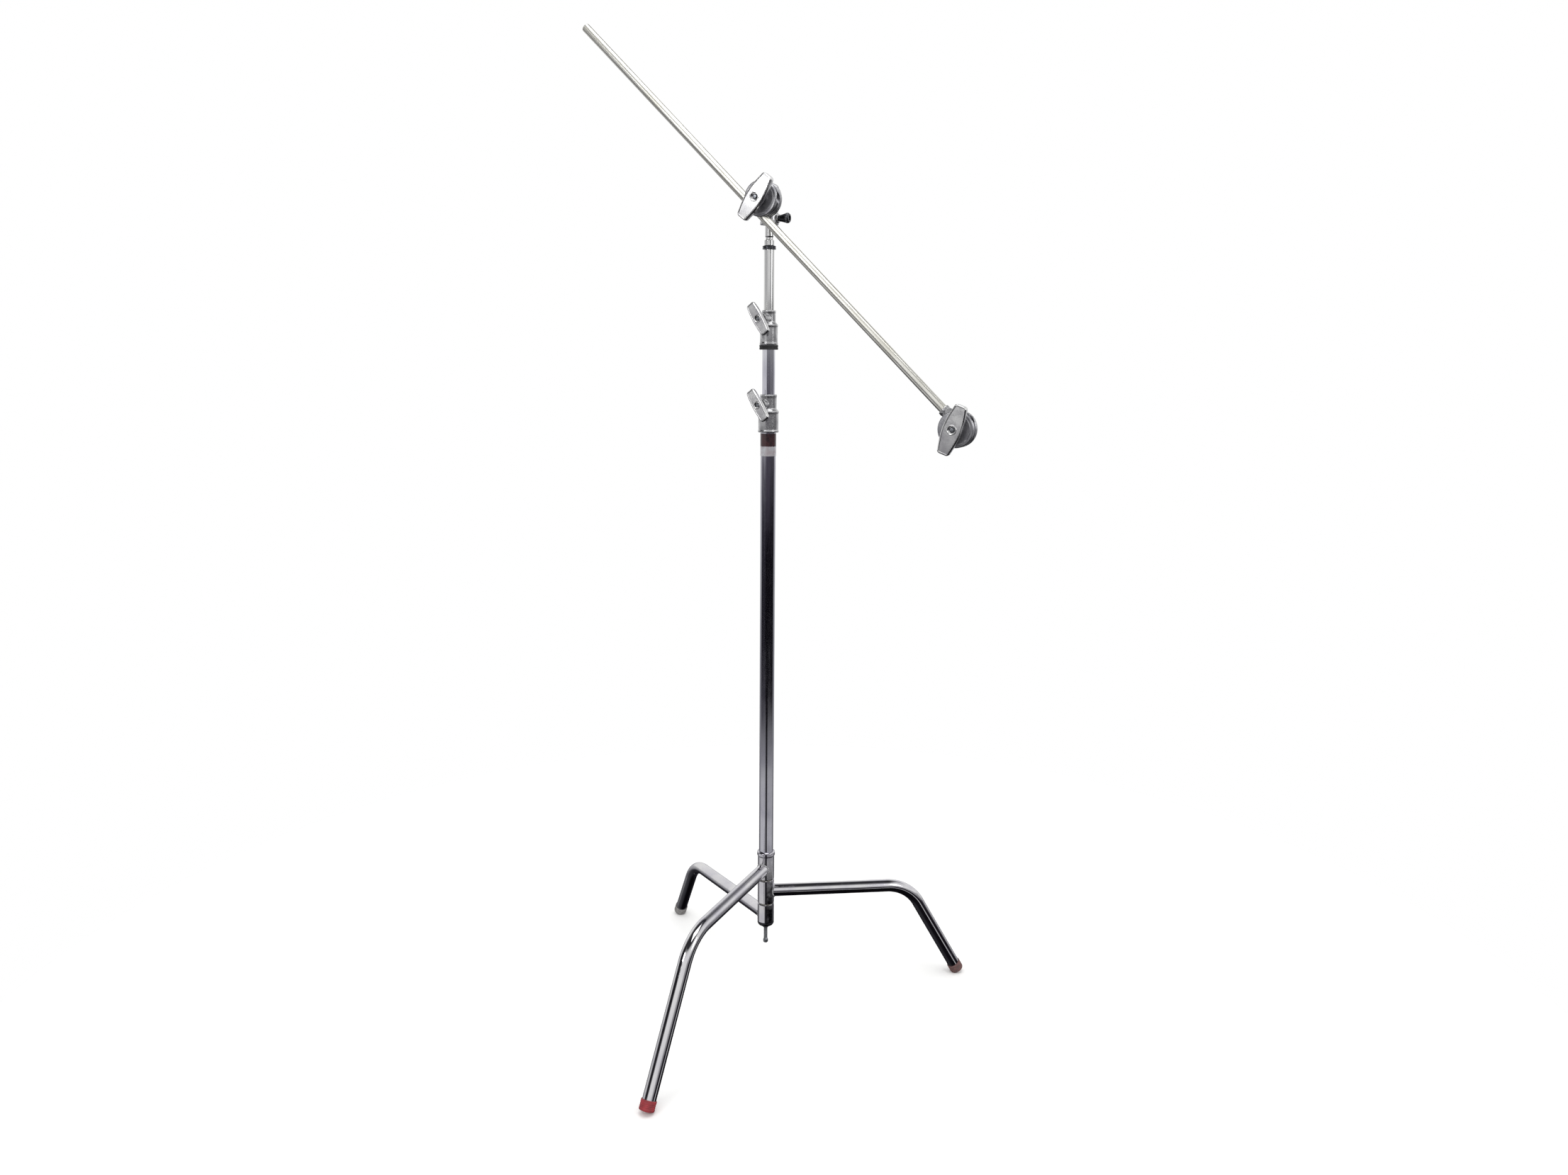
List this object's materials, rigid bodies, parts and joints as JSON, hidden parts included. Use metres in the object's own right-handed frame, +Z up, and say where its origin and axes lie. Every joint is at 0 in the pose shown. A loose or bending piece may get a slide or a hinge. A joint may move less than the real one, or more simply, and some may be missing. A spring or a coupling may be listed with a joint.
{
  "type": "grip stand with arm",
  "caption": "Tall lighting stand: three nesting bent legs, telescoping column with wing-handle clamps, grip head and long rod ending in a second grip head.",
  "frame": {"origin": "middle of the footprint box, on the floor", "axes": "+Z up along the column; -Y towards the viewer of the front, +X towards the lower end of the arm"},
  "size_m": [0.7768, 0.7796, 1.9084],
  "materials": {
    "chrome": "bright chrome plate",
    "dark_chrome": "bright chrome plate on drawn tube",
    "satin_steel": "satin ground steel bar",
    "casting": "nickel-plated casting, lightly textured",
    "zinc_steel": "zinc-plated steel",
    "black_rubber": "matt black moulded rubber",
    "red_plastic": "moulded red plastic",
    "black_label": "plain black band, no lettering",
    "silver_label": "plain silver band, no lettering",
    "white_nylon": "natural nylon"
  },
  "bodies": {
    "stand": {"column_tube": "dark_chrome", "column_plug": "zinc_steel", "hub_ring": "chrome", "leg_high": "chrome", "foot_cap_high": "red_plastic", "upper_collar_washer": "white_nylon", "lower_collar_washer": "white_nylon", "lower_knuckle": "casting", "black_label": "black_label", "silver_label": "silver_label", "base_spring": "zinc_steel"},
    "middle_leg": {"leg_mid": "chrome", "foot_cap_mid": "red_plastic"},
    "low_leg": {"leg_low": "chrome", "foot_cap_low": "red_plastic"},
    "base_release": {"bottom_cap": "dark_chrome", "tie_rod": "zinc_steel", "tie_rod_nut": "zinc_steel", "spring_washer": "zinc_steel"},
    "first_glide": {"riser_1_glide": "white_nylon"},
    "first_riser": {"riser_1_tube": "dark_chrome", "upper_knuckle": "casting", "bumper_ring": "black_rubber"},
    "second_glide": {"riser_2_glide": "white_nylon"},
    "second_riser": {"riser_2_tube": "chrome", "baby_pin": "chrome", "pin_ring": "dark_chrome"},
    "lower_pad": {"lower_clamp_pad": "white_nylon"},
    "lower_handle": {"lower_clamp_screw": "zinc_steel", "lower_wing_handle": "casting"},
    "upper_pad": {"upper_clamp_pad": "white_nylon"},
    "upper_handle": {"upper_clamp_screw": "zinc_steel", "upper_wing_handle": "casting"},
    "grip_head": {"head_body": "casting", "head_bolt": "zinc_steel"},
    "pin_lock_pad": {"receiver_pad": "white_nylon"},
    "pin_lock_knob": {"receiver_screw": "zinc_steel", "receiver_knob": "black_rubber"},
    "head_jaws": {"head_inner_jaw": "casting", "head_jaw_spring": "zinc_steel"},
    "head_outer": {"head_outer_jaw": "casting", "head_thrust_washer": "zinc_steel"},
    "head_handle": {"head_wing_handle": "chrome"},
    "arm": {"arm_rod": "satin_steel"},
    "arm_end": {"end_head_body": "casting", "end_head_bolt": "zinc_steel"},
    "end_jaws": {"end_inner_jaw": "casting", "end_jaw_spring": "zinc_steel"},
    "end_outer": {"end_outer_jaw": "casting", "end_thrust_washer": "zinc_steel"},
    "end_handle": {"end_wing_handle": "chrome"}
  },
  "joints": [
    {"name": "middle_leg_swing", "type": "hinge", "parent": "stand", "child": "middle_leg", "pos_m": [-0.03935, -0.00091, 0.24], "axis": [0, 0, 1], "range_deg": [-125, 95]},
    {"name": "low_leg_swing", "type": "hinge", "parent": "stand", "child": "low_leg", "pos_m": [-0.03935, -0.00091, 0.194], "axis": [0, 0, 1], "range_deg": [-95, 114]},
    {"name": "base_release_pull", "type": "slide", "parent": "stand", "child": "base_release", "axis": [0, 0, -1], "range_m": [0, 0.008], "stiffness_N_per_m": 3000, "springref_m": -0.01, "deforming": ["base_spring"]},
    {"name": "first_riser_slide", "type": "slide", "parent": "stand", "child": "first_glide", "axis": [0, 0, 1], "range_m": [-0.08, 0.75]},
    {"name": "first_riser_turn", "type": "hinge", "parent": "first_glide", "child": "first_riser", "pos_m": [-0.03935, -0.00091, 0.6], "axis": [0, 0, 1], "continuous": true},
    {"name": "second_riser_slide", "type": "slide", "parent": "first_riser", "child": "second_glide", "axis": [0, 0, 1], "range_m": [-0.09, 0.76]},
    {"name": "second_riser_turn", "type": "hinge", "parent": "second_glide", "child": "second_riser", "pos_m": [-0.03935, -0.00091, 1], "axis": [0, 0, 1], "continuous": true},
    {"name": "head_turn", "type": "hinge", "parent": "second_riser", "child": "grip_head", "pos_m": [-0.03935, -0.00091, 1.582], "axis": [0, 0, 1], "continuous": true},
    {"name": "lower_pad_slide", "type": "slide", "parent": "stand", "child": "lower_pad", "axis": [-0.5736, -0.8191, 0], "range_m": [0, 0.0031]},
    {"name": "lower_handle_turn", "type": "hinge", "parent": "lower_pad", "child": "lower_handle", "pos_m": [-0.03935, -0.00091, 1.217], "axis": [-0.5736, -0.8191, 0], "range_deg": [0, 720]},
    {"name": "upper_pad_slide", "type": "slide", "parent": "first_riser", "child": "upper_pad", "axis": [-0.5736, -0.8191, 0], "range_m": [0, 0.0031]},
    {"name": "upper_handle_turn", "type": "hinge", "parent": "upper_pad", "child": "upper_handle", "pos_m": [-0.03935, -0.00091, 1.373], "axis": [-0.5736, -0.8191, 0], "range_deg": [0, 720]},
    {"name": "pin_lock_pad_slide", "type": "slide", "parent": "grip_head", "child": "pin_lock_pad", "axis": [0.9063, -0.4226, 0], "range_m": [0, 0.0031]},
    {"name": "pin_lock_knob_turn", "type": "hinge", "parent": "pin_lock_pad", "child": "pin_lock_knob", "pos_m": [-0.03935, -0.00091, 1.551], "axis": [0.9063, -0.4226, 0], "range_deg": [0, 720]},
    {"name": "arm_tilt", "type": "hinge", "parent": "grip_head", "child": "head_jaws", "pos_m": [-0.03935, -0.00091, 1.582], "axis": [-0.4226, -0.9063, 0], "range_deg": [-5, 90]},
    {"name": "head_outer_slide", "type": "slide", "parent": "head_jaws", "child": "head_outer", "axis": [-0.4226, -0.9063, 0], "range_m": [0, 0.0061]},
    {"name": "head_handle_turn", "type": "hinge", "parent": "head_outer", "child": "head_handle", "pos_m": [-0.03935, -0.00091, 1.582], "axis": [-0.4226, -0.9063, 0], "range_deg": [0, 1080]},
    {"name": "arm_slide", "type": "slide", "parent": "head_jaws", "child": "arm", "axis": [0.6536, -0.3048, -0.6928], "range_m": [-0.3, 0.44]},
    {"name": "arm_end_roll", "type": "hinge", "parent": "arm", "child": "arm_end", "pos_m": [-0.06564, -0.02285, 1.56686], "axis": [0.6536, -0.3048, -0.6928], "continuous": true},
    {"name": "end_jaws_turn", "type": "hinge", "parent": "arm_end", "child": "end_jaws", "pos_m": [0.29285, -0.19002, 1.18687], "axis": [-0.4226, -0.9063, 0], "continuous": true},
    {"name": "end_outer_slide", "type": "slide", "parent": "end_jaws", "child": "end_outer", "axis": [-0.4226, -0.9063, 0], "range_m": [0, 0.0061]},
    {"name": "end_handle_turn", "type": "hinge", "parent": "end_outer", "child": "end_handle", "pos_m": [0.29285, -0.19002, 1.18687], "axis": [-0.4226, -0.9063, 0], "range_deg": [0, 1080]}
  ],
  "couplings": [
    {"joint": "lower_pad_slide", "follows": "lower_handle_turn", "m_per_rad": 0.0002387},
    {"joint": "upper_pad_slide", "follows": "upper_handle_turn", "m_per_rad": 0.0002387},
    {"joint": "pin_lock_pad_slide", "follows": "pin_lock_knob_turn", "m_per_rad": 0.0002387},
    {"joint": "head_outer_slide", "follows": "head_handle_turn", "m_per_rad": 0.0003183},
    {"joint": "end_outer_slide", "follows": "end_handle_turn", "m_per_rad": 0.0003183}
  ]
}
